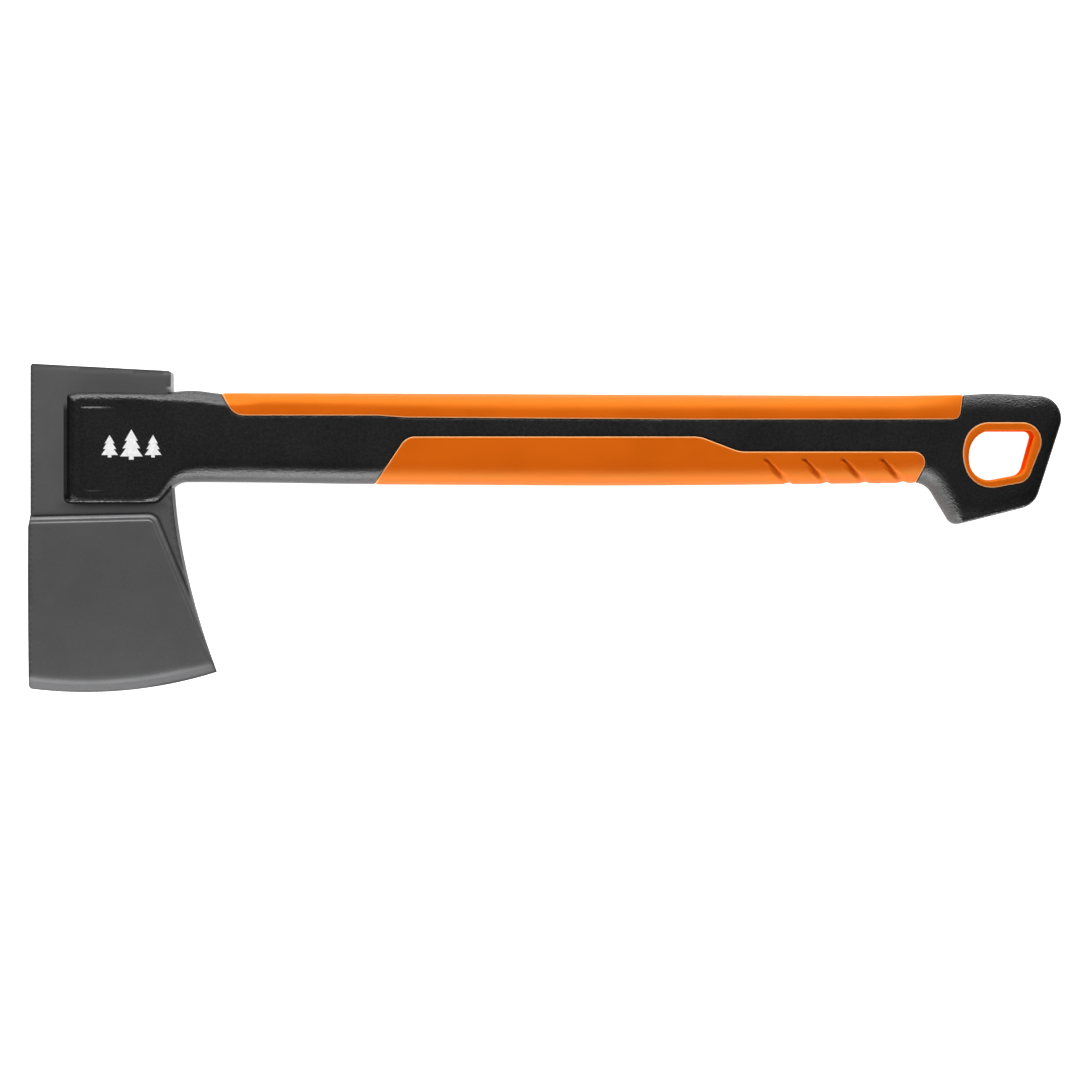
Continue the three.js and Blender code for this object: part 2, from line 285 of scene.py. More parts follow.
PIN_HOLES = [
    arc((x, PIN_Y), PIN_HOLE_RADIUS, 0, math.tau, 0.4)[:-1]
    for x in ((box_mm(pin)[0][0] + box_mm(pin)[1][0]) / 2 for pin in PINS)
]

# Handle
SLEEVE_LEFT = HANDLE_LOW[0]
SLEEVE_BOTTOM = 10.7
PAD_LEFT, PAD_RIGHT, PAD_BOTTOM, PAD_TOP = -199.8, -182.5, 15.3, 51.8
BACK_LINE = smooth([
    (206, 56.8), (192, 57.35), (184, 57.05), (177, 56.7), (160, 56.6), (120, 56.65), (60, 56.9), (0, 57.2),
    (-60, 57.5), (-110, 57.6), (-132, 57.6), (-140, 57.6), (-147, 58.5), (-153, 58.75), (-158.5, 58.3),
    (-164, 57.85), (-185, 58.0),
])
BELLY_LINE = smooth([
    (-146, 19.5), (-114, 19.2), (-85, 18.75), (-40, 18.5),
    (10, 18.2), (60, 18.3), (105, 18.75), (150, 19.25),
])
HANDLE = round_corners([
    (SLEEVE_LEFT, SLEEVE_BOTTOM, 2.3),
    (-165.7, SLEEVE_BOTTOM, 4.5),
    (-157.6, 19.5, 8),
    *BELLY_LINE,
    (163.7, 19.4, 9),
    (174.9, 0.8, 4.6),
    (209.9, 9.6, 10),
    (224.8, 55.5, 9.75),
    *BACK_LINE,
    (SLEEVE_LEFT, 58.1, 2.3),
])
PAD = np.array([(PAD_LEFT, PAD_BOTTOM), (PAD_RIGHT, PAD_BOTTOM), (PAD_RIGHT, PAD_TOP), (PAD_LEFT, PAD_TOP)])
LINER = round_corners([
    (183.2, 15.1, 12),
    (206.8, 19.3, 7),
    (216.9, 45.2, 8.5),
    (181.8, 45.2, 11),
    (178.2, 31, 19),
])
HOLE = round_corners([
    (183.4, 18.8, 8.5),
    (205.3, 22.9, 5),
    (210.4, 41.5, 2.4),
    (183.9, 41.5, 10),
    (181.4, 30.5, 16),
])
SPINE = round_corners([
    (-133.4, 47.7, 8),
    (-71.6, 47.7),
    (-59.7, 46.85),
    (0, 46.4),
    (62.6, 46.0),
    (177.9, 46.0, 3.4),
    (180.9, 66),
    (-140.2, 66),
    (-138.7, 57),
])
GRIP = round_corners([
    (-79.6, 9),
    (154.9, 9),
    (166.1, 32.7, 5),
    (83.5, 32.7, 14),
    (66.6, 39.15, 14),
    (-59.5, 39.15, 7.5),
])

HANDLE_RIM = even(HANDLE, 0.9)  # the outline, cut up for its mesh
SHAFT_HALF = 13.5
NECK_HALF = 13.3
SLEEVE_HALF = FULL_HALF - 0.45
KNOB_HALF = FULL_HALF - 0.15
PAD_RISE = 0.36

# How far in from the outline the handle's edge starts to fall, as (x, reach) stops
BELLY_REACH = ((-205, 6.0), (-198, 3.4), (-170, 3.4), (-146, 9.6), (148, 9.6), (166, 12.5))
BACK_REACH = ((-205, 6.0), (-198, 3.6), (-170, 3.5), (-163.5, 3.7), (-152, 5.1), (-127, 5.8), (-20, 7.8))
BUTT_REACH = ((205, 8.0), (215, 6.0))

# Straight bevels: their bend, their slope, and the reach and drop of the small round at the outline
HUMP_BEVEL = (1.2, 0.8, 1.4, 1.2)
SILL_BEVEL = (2.4, 0.45, 0.6, 0.6)
KNOB_BEVEL = (6, 0.36, 0.8, 0.8)

# ---------------------------------------------------------------- meshes

RIM_LEVELS = 8  # steps in the height of a rim's wall


class Relief:
    """A closed solid over a flat outline, the same on both sides of the middle plane."""

    def __init__(self, outline, holes=(), lines=(), points=()):
        """outline, holes and lines are closed loops that triangles keep to, and points lie anywhere."""
        loops = [outline, *holes, *lines]
        sides = []
        first = 0
        for loop in loops:
            order = first + np.arange(len(loop))
            sides += list(zip(order.tolist(), np.roll(order, -1).tolist()))
            first += len(loop)
        given = np.concatenate([*loops, *points])
        made = delaunay_2d_cdt([Vector(p) for p in given.tolist()], sides, [], 0, 1e-5, False)
        self.flat = np.array([tuple(p) for p in made[0]])
        faces = np.array([face for face in made[2] if len(face) == 3])
        a, b, c = (self.flat[faces[:, i]] for i in range(3))
        area = (b[:, 0] - a[:, 0]) * (c[:, 1] - a[:, 1]) - (b[:, 1] - a[:, 1]) * (c[:, 0] - a[:, 0])
        faces[area < 0] = faces[area < 0][:, ::-1]
        middle = (a + b + c) / 3
        kept = inside(middle, outline)
        for hole in holes:
            kept &= ~inside(middle, hole)
        self.faces = faces[kept & (np.abs(area) > 1e-9)]

    def closed(self, height, levels):
        """Vertices, triangles, and the flat point under each vertex, with the rim's wall in some levels."""
        count = len(self.flat)
        rim = open_edges(self.faces)
        on_rim = np.unique(rim)
        place = np.zeros(count, int)
        place[on_rim] = np.arange(len(on_rim))
        source = np.concatenate([np.arange(count), np.arange(count), np.tile(on_rim, levels - 1)])
        z = [height, -height] + [height[on_rim] * (1 - 2 * k / levels) for k in range(1, levels)]
        vertices = np.column_stack([self.flat[source], np.concatenate(z)])

        def at_level(k, points):
            if k in (0, levels):
                return points + (count if k else 0)
            return 2 * count + (k - 1) * len(on_rim) + place[points]

        faces = [self.faces, self.faces[:, ::-1] + count]
        for k in range(levels):
            a, b = rim[:, 0], rim[:, 1]
            top_a, top_b = at_level(k, a), at_level(k, b)
            low_a, low_b = at_level(k + 1, a), at_level(k + 1, b)
            faces.append(np.column_stack([top_b, top_a, low_a]))
            faces.append(np.column_stack([top_b, low_a, low_b]))
        return vertices, np.concatenate(faces), source


def open_edges(faces):
    """Directed sides of triangles that no other triangle shares."""
    sides = np.concatenate([faces[:, [0, 1]], faces[:, [1, 2]], faces[:, [2, 0]]])
    span = int(faces.max()) + 1
    codes = sides[:, 0].astype(np.int64) * span + sides[:, 1]
    reverse = sides[:, 1].astype(np.int64) * span + sides[:, 0]
    return sides[~np.isin(codes, reverse)]


def vertex_normals(vertices, faces):
    """Each vertex's normal, weighted by the areas of its triangles."""
    a, b, c = (vertices[faces[:, i]] for i in range(3))
    cross = np.cross(b - a, c - a)
    normals = np.zeros_like(vertices)
    for i in range(3):
        np.add.at(normals, faces[:, i], cross)
    return normals / np.maximum(np.linalg.norm(normals, axis=1), 1e-12)[:, None]


def upright(normals):
    """1 where a surface stands upright, fading to 0 where it leans back by 30 degrees."""
    return ease((0.5 - np.abs(normals[:, 2])) / 0.35)


def shell(vertices, normals, faces, outer, inner):
    """A skin of some thickness over a patch of a surface."""
    count = len(vertices)
    both = np.concatenate([vertices + normals * outer[:, None], vertices + normals * inner])
    rim = open_edges(faces)
    a, b = rim[:, 0], rim[:, 1]
    sides = [np.column_stack([b, a, a + count]), np.column_stack([b, a + count, b + count])]
    return both, np.concatenate([faces, faces[:, ::-1] + count, *sides])


def piece(name, vertices, faces, material, slot, replaced=(), sharp=40, **values):
    """A mesh object that rides on the axe, with sharp edges past an angle in degrees.

    values are numbers kept on its vertices, for its material to read.
    """
    used, faces = np.unique(faces, return_inverse=True)
    faces = faces.reshape(-1, 3)
    place = vertices[used] + (0, 0, MIDDLE)
    place[:, 2] = np.clip(place[:, 2], 0, 2 * FULL_HALF)
    mesh = bpy.data.meshes.new(name)
    mesh.from_pydata((place * MM).tolist(), [], faces.tolist())
    for key, value in values.items():
        mesh.attributes.new(key, "FLOAT", "POINT").data.foreach_set("value", value[used].astype(np.float32))
    mesh.shade_smooth()
    mesh.set_sharp_from_angle(angle=math.radians(sharp))
    made = bpy.data.objects.new(name, mesh)
    bpy.context.scene.collection.objects.link(made)
    mesh.materials.append(material)
    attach(made, BODY)
    if replaced:
        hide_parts(*replaced)
    return made


def away_from(points, loops, gap):
    """The points that aren't within the gap of any loop."""
    for loop in loops:
        points = points[distance_to(points, loop) > gap]
    return points


# ---------------------------------------------------------------- handle surface

SEAM = 0.22  # the gap beside an inlay
INLAY_DEPTH = 1.9
# The black body drops round an inlay's outline, and the inlay's own edge rises from it to a low crown
LIP_DEPTHS = (-0.5, -0.2, 0, 0.03)
LIP_DROPS = (0, -0.08, -0.4, -INLAY_DEPTH)
CROWN_DEPTHS = (SEAM, 0.3, 0.44, 0.7, 1.3)
CROWN_RISES = (-0.4, -0.12, 0.03, 0.12, 0.16)
GROOVE_COUNT = 4
GROOVE_PITCH = 16.6
GROOVE_START = np.array([94.0, 29.6])
GROOVE_DEPTH = 1.4
GROOVE_HALF = 1.3  # half its width at its upper end
GROOVE_WIDENING = 0.25
GROOVE_BOX = np.array([(93, 17), (166, 17), (166, 31), (93, 31)])
RING_ANGLES = np.radians([7, 14, 21, 28, 35, 42, 50, 58, 66, 74, 82])
PLAIN_SPACING, GROOVE_SPACING, PAD_SPACING = 1.3, 0.4, 0.7
KNOB_START = 150  # where the shaft begins to grow into the knob
SOFTEN_RADII = (0.8, 1.6)
PAD_EDGE = (0, 0.27, 0.53, 0.8)  # depths of the loops that carry the pad's sloping edge


def at_back(points):
    """0 along the belly and 1 along the back."""
    return ease((points[:, 1] - 30) / 12)


def edge_reach(points):
    """How far in from the outline the handle's edge starts to fall."""
    x, back = points[:, 0], at_back(points)
    belly_reach, back_reach = along(x, *BELLY_REACH), along(x, *BACK_REACH)
    reach = belly_reach + (back_reach - belly_reach) * back
    butt = ease((x - 176) / 12)
    return reach + (along(x, *BUTT_REACH) - reach) * butt


def edge_fall(points):
    """How far the handle's edge falls: rounded, but with a straight bevel on the hump, sill and knob."""
    x, back = points[:, 0], at_back(points)
    depth = np.maximum(depth_in(points, HANDLE), 0)
    reach = edge_reach(points)
    fall = rounded_edge(depth, reach, reach * along(x, (-175, 0.95), (-150, 1.1)))
    hump = back * ease((x + 176) / 12) * (1 - ease((x + 134) / 14))
    fall += hump * (bevelled_edge(depth, reach, *HUMP_BEVEL) - fall)
    sill = ease((16 - points[:, 1]) / 3) * ease((-167 - x) / 6)
    fall += sill * (bevelled_edge(depth, reach, *SILL_BEVEL) - fall)
    knob = back * ease((x - 148) / 32) + (1 - back) * ease((x - 173.5) / 6)
    return fall + knob * (bevelled_edge(depth, reach, *KNOB_BEVEL) - fall)


def flat_half(x):
    """Half the handle's thickness, away from its edges."""
    stops = (-166, SLEEVE_HALF), (-138, NECK_HALF), (-110, SHAFT_HALF), (146, SHAFT_HALF), (162, KNOB_HALF)
    return along(x, *stops)


def pad(points):
    """The low pad on the sleeve's end, which slopes away towards the shaft."""
    x, y = points[:, 0], points[:, 1]
    up = PAD_RISE * ease((x - PAD_LEFT) / 3) * ease((PAD_RIGHT - x) / 10)
    return up * ease((y - PAD_BOTTOM) / 0.8) * ease((PAD_TOP - y) / 0.8)


def handle_height(points):
    """Half the handle's thickness, before its inlays are sunk."""
    return flat_half(points[:, 0]) - edge_fall(points) + pad(points)


def groove_drop(points):
    """The grip's slanting grooves, which open out towards the belly."""
    drop = np.zeros(len(points))
    down, across = np.array([1, -1]) / math.sqrt(2), np.array([1, 1]) / math.sqrt(2)
    for i in range(GROOVE_COUNT):
        offset = points - GROOVE_START - (i * GROOVE_PITCH, 0)
        run, side = offset @ down, offset @ across
        half_width = GROOVE_HALF + GROOVE_WIDENING * ease(run / 12)
        lengthways = ease((run + 0.3) / 1.6) * (1 - 0.55 * ease((run - 9) / 5))
        walls = ease((side + half_width + 0.35) / (half_width + 0.45)) * ease((half_width - side) / 1.0)
        drop += GROOVE_DEPTH * lengthways * walls
    return drop


def across_handle(loop, depths, coarse=1.0):
    """Loops at some depths inside a loop over the handle, cut finely where they climb the rounded edges."""
    pieces = even(loop, coarse)
    pieces = even(pieces, np.clip(0.3 * distance_to(pieces, HANDLE), 0.07, coarse))
    return [grown(pieces, -depth) for depth in depths]


def handle_points(zones):
    """Free points: rows that follow the rounded edge, and a lattice, finer where there is detail."""
    rows = []
    for angle in RING_ANGLES:
        step = edge_reach(HANDLE_RIM) * (1 - math.cos(angle))
        row = grown(HANDLE_RIM, -step)
        rows.append(row[distance_to(row, HANDLE) > step - 0.01])
    rows = np.concatenate(rows)
    plain = lattice(HANDLE, PLAIN_SPACING)
    plain = plain[distance_to(plain, HANDLE) > 0.9 * edge_reach(plain)]
    fine = lattice(GROOVE_BOX, GROOVE_SPACING)
    fine = fine[inside(fine, HANDLE) & (groove_drop(fine) + groove_drop(fine + (0.5, 0.5)) > 0)]
    fine = fine[distance_to(fine, HANDLE) > 0.15]
    sleeve = lattice(grown(PAD, 1.5), PAD_SPACING)
    rows = rows[(groove_drop(rows) == 0) | (distance_to(rows, HANDLE) < 0.5)]
    return [away_from(points, zones, 0.3) for points in (rows, plain, fine, sleeve)]


def soften_knob(points, height):
    """Moves the heights by the knob's bevel towards the mean of those round them, to soften its creases."""
    depth = depth_in(points, HANDLE)
    creased = np.flatnonzero((points[:, 0] > KNOB_START) & (depth > 1) & (depth < 11))
    here = points[creased]
    turns = np.arange(6) * math.tau / 6
    steps = [(r * math.cos(a + r), r * math.sin(a + r)) for r in SOFTEN_RADII for a in turns]
    mean = (handle_height(here) + sum(handle_height(here + step) for step in steps)) / (len(steps) + 1)
    height[creased] += ease((depth[creased] - 1) / 1.8) * (mean - height[creased])


def handle_surface():
    """The handle's whole outer surface as a relief, and the height over each of its flat points."""
    hole = even(grown(LINER, 0.05), LOOP_STEP)
    inlays = []
    for zone in (SPINE, GRIP):
        inlays += across_handle(zone, (*LIP_DEPTHS, *CROWN_DEPTHS))
    pad_edge = [even(grown(PAD, -depth), LOOP_STEP) for depth in PAD_EDGE]
    points = handle_points([SPINE, GRIP, LINER])
    relief = Relief(HANDLE_RIM, [hole], [*inlays, *pad_edge], points)
    height = handle_height(relief.flat)
    soften_knob(relief.flat, height)
    return relief, height


def inlay_faces(depth, faces):
    """The triangles wholly inside an inlay's edge."""
    return faces[(depth[faces] > SEAM - 0.02).all(axis=1)]


# ---------------------------------------------------------------- pieces of the handle

CUTTER_STEP = 4.0
SEAT_GAP = 0.12  # between the handle and the pieces inside it


def cutter(outline, height, lines=()):
    """A solid that is only there to be cut from another."""
    relief = Relief(even(outline, CUTTER_STEP), lines=lines)
    vertices, faces, _ = relief.closed(height(relief.flat), levels=1)
    mesh = bpy.data.meshes.new("cutter")
    mesh.from_pydata(((vertices + (0, 0, MIDDLE)) * MM).tolist(), [], faces.tolist())
    made = bpy.data.objects.new("cutter", mesh)
    bpy.context.scene.collection.objects.link(made)
    return made


def seat_cutters():
    """The spaces that the head and the core fill inside the handle, with clearance."""
    pocket = grown(POCKET, -SEAT_GAP)

    def head_space(points):
        return SEAT_GAP + np.where(depth_in(points, pocket) > 0.01, WEB_HALF, POLL_HALF)

    step = [even(pocket, CUTTER_STEP), even(grown(pocket, -0.03), CUTTER_STEP)]
    head = cutter(grown(HEAD, SEAT_GAP), head_space, step)
    (left, bottom), (right, top) = CORE_LOW[:2] - SEAT_GAP, CORE_HIGH[:2] + SEAT_GAP
    half = (CORE_HIGH - CORE_LOW)[2] / 2 + SEAT_GAP
    bar = np.array([(left, bottom), (right, bottom), (right, top), (left, top)])
    core = cutter(bar, lambda points: np.full(len(points), half))
    return [head, core]


def cut_away(made, cutters):
    """The cutters' shapes taken out of a piece, and the cutters deleted."""
    for tool in cutters:
        cut = made.modifiers.new("seat", "BOOLEAN")
        cut.operation, cut.solver, cut.object = "DIFFERENCE", "MANIFOLD", tool
    graph = bpy.context.evaluated_depsgraph_get()
    finished = bpy.data.meshes.new_from_object(made.evaluated_get(graph))
    made.modifiers.clear()
    made.data = finished
    for tool in cutters:
        bpy.data.objects.remove(tool)
    finished.set_sharp_from_angle(angle=math.radians(40))


def shade_walls(made):
    """Marks where the black finish loses its gloss: the sleeve's walls and front, and the knob's walls."""
    mesh = made.data
    place, normal = (np.empty(3 * len(mesh.vertices), np.float32) for _ in range(2))
    mesh.vertices.foreach_get("co", place)
    mesh.vertices.foreach_get("normal", normal)
    x = place[::3] / MM
    sleeve, knob = ease((-158 - x) / 4), along(x, (150, 0.35), (165, 0.8))
    walls = np.maximum(sleeve, knob) * upright(normal.reshape(-1, 3))
    front = 0.75 * ease((SLEEVE_LEFT + 3.3 - x) / 1.2)
    shade = np.maximum(walls, front).astype(np.float32)
    mesh.attributes.new("shade", "FLOAT", "POINT").data.foreach_set("value", shade)


def handle_pieces(black, orange):
    """The black body and the two inlays, which are skins over parts of the same surface."""
    relief, height = handle_surface()
    vertices, faces, source = relief.closed(height, RIM_LEVELS)
    normals = vertex_normals(vertices, faces)
    drop = np.zeros(len(vertices))
    for name, node, zone, grooves in (
        ("spine_inlay_fine", "spine_inlay", SPINE, None),
        ("belly_grip_fine", "belly_grip", GRIP, groove_drop),
    ):
        depth = depth_in(relief.flat, zone)[source]
        drop += np.interp(depth, LIP_DEPTHS, LIP_DROPS)
        rise = np.interp(depth, CROWN_DEPTHS, CROWN_RISES)
        if grooves:
            rise = rise - grooves(relief.flat)[source]
        skin, skin_faces = shell(vertices, normals, inlay_faces(depth, faces), rise, SEAM - INLAY_DEPTH)
        # The depth into the inlay, which its material turns into a painted highlight along the edge.
        border = np.tile(depth, 2)
        piece(name, skin, skin_faces, orange, "orange_rubber", [node], border=border)
    sunk_in = vertices + normals * drop[:, None]
    body = piece("handle_body_fine", sunk_in, faces, black, "black_nylon", ["handle_body"])
    cut_away(body, seat_cutters())
    shade_walls(body)


def liner_piece(orange):
    """The ring in the hanging hole, rounded over at the knob's face and more so into the hole."""
    lip, hole_share = 0.9, 1.3
    hole_lip = hole_share * lip
    steps = lip * (1 - np.cos(np.radians([15, 30, 45, 60, 75, 90])))
    outer, inner = even(LINER, LOOP_STEP), even(HOLE, LOOP_STEP)
    lines = [grown(outer, -s) for s in steps] + [grown(inner, hole_share * s) for s in steps]
    points = away_from(lattice(LINER, 1.0), [LINER, HOLE], 1.4)
    relief = Relief(outer, [inner], lines, [points])
    out_depth = np.maximum(depth_in(relief.flat, LINER), 0)
    in_depth = np.maximum(-depth_in(relief.flat, HOLE), 0)
    height = FULL_HALF - rounded_edge(out_depth, lip, lip) - rounded_edge(in_depth, hole_lip, hole_lip)
    vertices, faces, source = relief.closed(height, levels=10)
    # The depth in from the outer edge, for the painted edge highlight.
    border = out_depth[source]
    # Upright walls, which the orange material paints lighter and without gloss.
    shade = upright(vertex_normals(vertices, faces))
    node = "hang_hole_liner"
    piece(node + "_fine", vertices, faces, orange, "orange_rubber", [node], border=border, shade=shade)


FIRS = ((-186.4, 31.0, 8.6), (-177.1, 30.4, 11.6), (-167.8, 31.0, 8.6))  # X and Y of the foot, and height
INK_OVER, INK_UNDER = 0.05, -0.04  # the print's faces, above and below the sleeve's surface
PRINT_STEP = 0.7


def conifer(x, y, size):
    """A plain fir tree of three tiers, standing on a short trunk."""
    right = [(0.09, -0.12), (0.09, 0), (0.42, 0), (0.2, 0.3), (0.33, 0.3), (0.15, 0.58), (0.24, 0.58)]
    outline = right + [(0, 1)] + [(-a, b) for a, b in reversed(right)]
    return np.array(outline) * size + (x, y)


def emblems(white):
    """Three printed firs on each side of the sleeve, the rear ones a mirror image."""
    for name, side in (("emblem_front", 1), ("emblem_rear", -1)):
        vertices, faces = [], []
        for fir in FIRS:
            outline = conifer(*fir)
            tree = Relief(even(outline, PRINT_STEP), points=[lattice(outline, PRINT_STEP)])
            surface = np.column_stack([tree.flat, handle_height(tree.flat)])
            up = np.tile((0.0, 0.0, 1.0), (len(surface), 1))
            plate, plate_faces = shell(surface, up, tree.faces, np.full(len(surface), INK_OVER), INK_UNDER)
            faces.append(plate_faces + sum(len(v) for v in vertices))
            vertices.append(plate * (1, 1, side))
        faces = np.concatenate(faces)[:, ::side]  # mirrored triangles turn the other way
        piece(name, np.concatenate(vertices), faces, white, "white_print")


# ---------------------------------------------------------------- head

# Depths of the loops that carry the panel's edge
PANEL_STEPS = (-2, -1.5, -1.1, -0.6, -0.3, 0, 0.25, 0.5, 0.8, 1.5, 1.8, 2.1, 2.3)
PANEL_RISE, PANEL_SECOND_RISE = 0.36, 0.35  # its doubled edge
PANEL_GROOVE = 0.3
BEVEL_BLEND = 0.7  # how softly the cheek turns into the bevel
BEVEL_HOLLOW = 0.35
HEAD_ROUND = 1.15  # how far in the head's edges are rounded
BEARD_ROUND = 1.1  # how much further in that goes along the beard
CRISPNESS = 0.85  # how much less far in that goes at the front and top
EDGE_ZONE = 5.5  # the finely meshed strip along the cutting edge
EDGE_ANGLES = (-1.8, -1.1)  # past both ends of the cutting edge, in radians
SEAM_STEPS = (0.05, 0.3, 0.55, 1.2)  # rows of points beside the sleeve
HEAD_SPACING = 1.5


def from_edge(points):
    """How far points are in from the cutting edge's arc."""
    return EDGE_RADIUS - np.linalg.norm(points - EDGE_CENTRE, axis=1)


def wedge(inward):
    """Half the thickness of the head's cheeks at a distance in from the cutting edge."""
    return POLL_HALF * (1 - np.clip((WEDGE_LENGTH - inward) / (WEDGE_LENGTH + 5), 0, 1) ** WEDGE_SWELL)


def by_beard(x, y):
    """1 along the beard's lower part, and 0 towards the toe and the sleeve."""
    return ease((x + 175) / 15) * ease((-30 - y) / 10)


def head_height(points):
    """Half the head's thickness: flat cheeks at the poll, a wedge, the bevel and the raised blade panel."""
    x, y = points[:, 0], points[:, 1]
    inward = from_edge(points)
    panel = depth_in(points, PANEL)
    fade = 1 - ease((x - BLADE_LEFT) / 2)
    raised = PANEL_RISE * ease(panel / (0.7 + 2 * fade))
    raised += PANEL_SECOND_RISE * ease((panel - 1.5) / (0.8 + 14 * ease((2 - y) / 8) + 2 * fade))
    groove = PANEL_GROOVE * ease((panel + 2) / 0.9) * ease(-panel / 0.6) * (1 - fade)
    cheek = wedge(inward) + raised - groove
    bevel = EDGE_HALF + (wedge(BEVEL_WIDTH) - EDGE_HALF) * inward / BEVEL_WIDTH
    soft = np.clip(0.5 + (cheek - bevel) / BEVEL_BLEND, 0, 1)
    height = cheek * (1 - soft) + bevel * soft - BEVEL_HOLLOW * soft * (1 - soft)
    depth = np.maximum(depth_in(points, HEAD), 0)
    crisp_top = ease((y - HEAD_HIGH[1] + 6) / 2) * ease((-162 - x) / 2)
    crisp = np.maximum(ease((HEAD_LEFT + 4 - x) / 2), crisp_top)
    reach = HEAD_ROUND + BEARD_ROUND * by_beard(x, y) - CRISPNESS * crisp
    edge = reach * ease((inward - 3) / 7) + 0.02
    height = height - rounded_edge(depth, edge, np.minimum(edge, 0.5 * height))
    in_pocket = inside(points, grown(POCKET, -0.01))
    return np.where(in_pocket, WEB_HALF, np.maximum(height, EDGE_HALF * 0.6))


def head_relief():
    """The head's outline with the lines and points that its bevel, panel and pockets need."""
    outline = even(HEAD, LOOP_STEP)
    rows = []
    for angle in np.radians([10, 20, 30, 42, 54, 66, 78, 90]):
        row = grown(outline, -HEAD_ROUND * (1 - math.cos(angle)))
        depth = distance_to(row, HEAD)
        rows.append(row[depth > depth.max() - 0.02])
    rows = np.concatenate(rows)
    steps = np.arange(0.2, EDGE_ZONE - 0.1, 0.3)
    bevel = np.concatenate([arc(EDGE_CENTRE, EDGE_RADIUS - step, *EDGE_ANGLES, 1.0) for step in steps])
    bevel = bevel[inside(bevel, grown(HEAD, -0.15))]
    panel = [even(grown(PANEL, -depth), 1.0) for depth in PANEL_STEPS]
    pocket = [even(POCKET, 2.0), even(grown(POCKET, -0.03), 2.0)]
    plain = away_from(lattice(HEAD, HEAD_SPACING), [HEAD], 1.2)
    plain = plain[from_edge(plain) >= EDGE_ZONE]
    beside = np.concatenate([even(grown(HANDLE, gap), 0.6) for gap in SEAM_STEPS])
    beside = beside[inside(beside, grown(HEAD, -0.5))]
    points = [away_from(p, [*panel, *pocket, POCKET], 0.12) for p in (rows, bevel, plain, beside)]
    return Relief(outline, PIN_HOLES, [*panel, *pocket], points)


def head_finish_and_painted_light(flat):
    """Where the steel's finish differs, from 0 to 1 at each flat point.

    ground is the cutting bevel; crest is a painted highlight along the panel's two edge lines; corner is
    painted shade: a dark line beside the sleeve, a shadow under it and shade in the groove over the panel;
    and shade is painted shade on the walls, which also lose their gloss, all but the poll's right one.
    """
    x, y = flat[:, 0], flat[:, 1]
    ground = ease((BEVEL_WIDTH + 0.2 - from_edge(flat)) / 0.4)
    panel = depth_in(flat, PANEL)
    # Painted highlight: lighter lines along the panel's two raised steps.
    painted_edge_highlight = np.maximum(1 - np.abs(panel - 0.4) / 0.35, 0.8 - np.abs(panel - 1.9) / 0.45).clip(0, 1)
    gap = np.maximum(-depth_in(flat, HANDLE), 0)
    # Painted shade: a dark line beside the sleeve, a shadow under it, and shade in the groove over the
    # panel.
    shade_beside_sleeve = 0.85 * ease((0.55 - gap) / 0.25) * ease((54 - y) / 4)
    shadow_under_sleeve = 0.32 * ease((6 - gap) / 6) * ease((12 - y) / 3)
    shade_over_panel = 0.75 * (1 - np.abs(panel + 1.1) / 0.8) * ease((x - BLADE_LEFT) / 3)
    corner = np.maximum(shade_beside_sleeve + shadow_under_sleeve, shade_over_panel)
    depth = np.maximum(depth_in(flat, HEAD), 0)
    # Painted shade: the walls are darkened, all but the poll's right one, which is left bright.
    bright_wall = ease((y - 18) / 10) * ease((x - POLL_RIGHT + 1.2) / 0.8)
    wall = 0.7 + by_beard(x, y)
    shade = ease((wall - depth) / wall) * (1 - bright_wall)
    return {"ground": ground, "painted_edge_highlight": painted_edge_highlight, "corner": corner, "shade": shade}


def head_piece(steel):
    """The forged head, with the bevel, painted highlight and painted shade that its material reads."""
    relief = head_relief()
    vertices, faces, source = relief.closed(head_height(relief.flat), RIM_LEVELS)
    finish_and_painted_light = {key: value[source] for key, value in head_finish_and_painted_light(relief.flat).items()}
    piece("axe_head_fine", vertices, faces, steel, "coated_steel", ["axe_head"], sharp=35, **finish_and_painted_light)


# ---------------------------------------------------------------- materials


def linear(*srgb):
    """A colour given as 0 to 255 on screen, as the linear numbers that nodes take."""
    return tuple(c / 255 / 12.92 if c <= 10 else ((c / 255 + 0.055) / 1.055) ** 2.4 for c in srgb) + (1.0,)


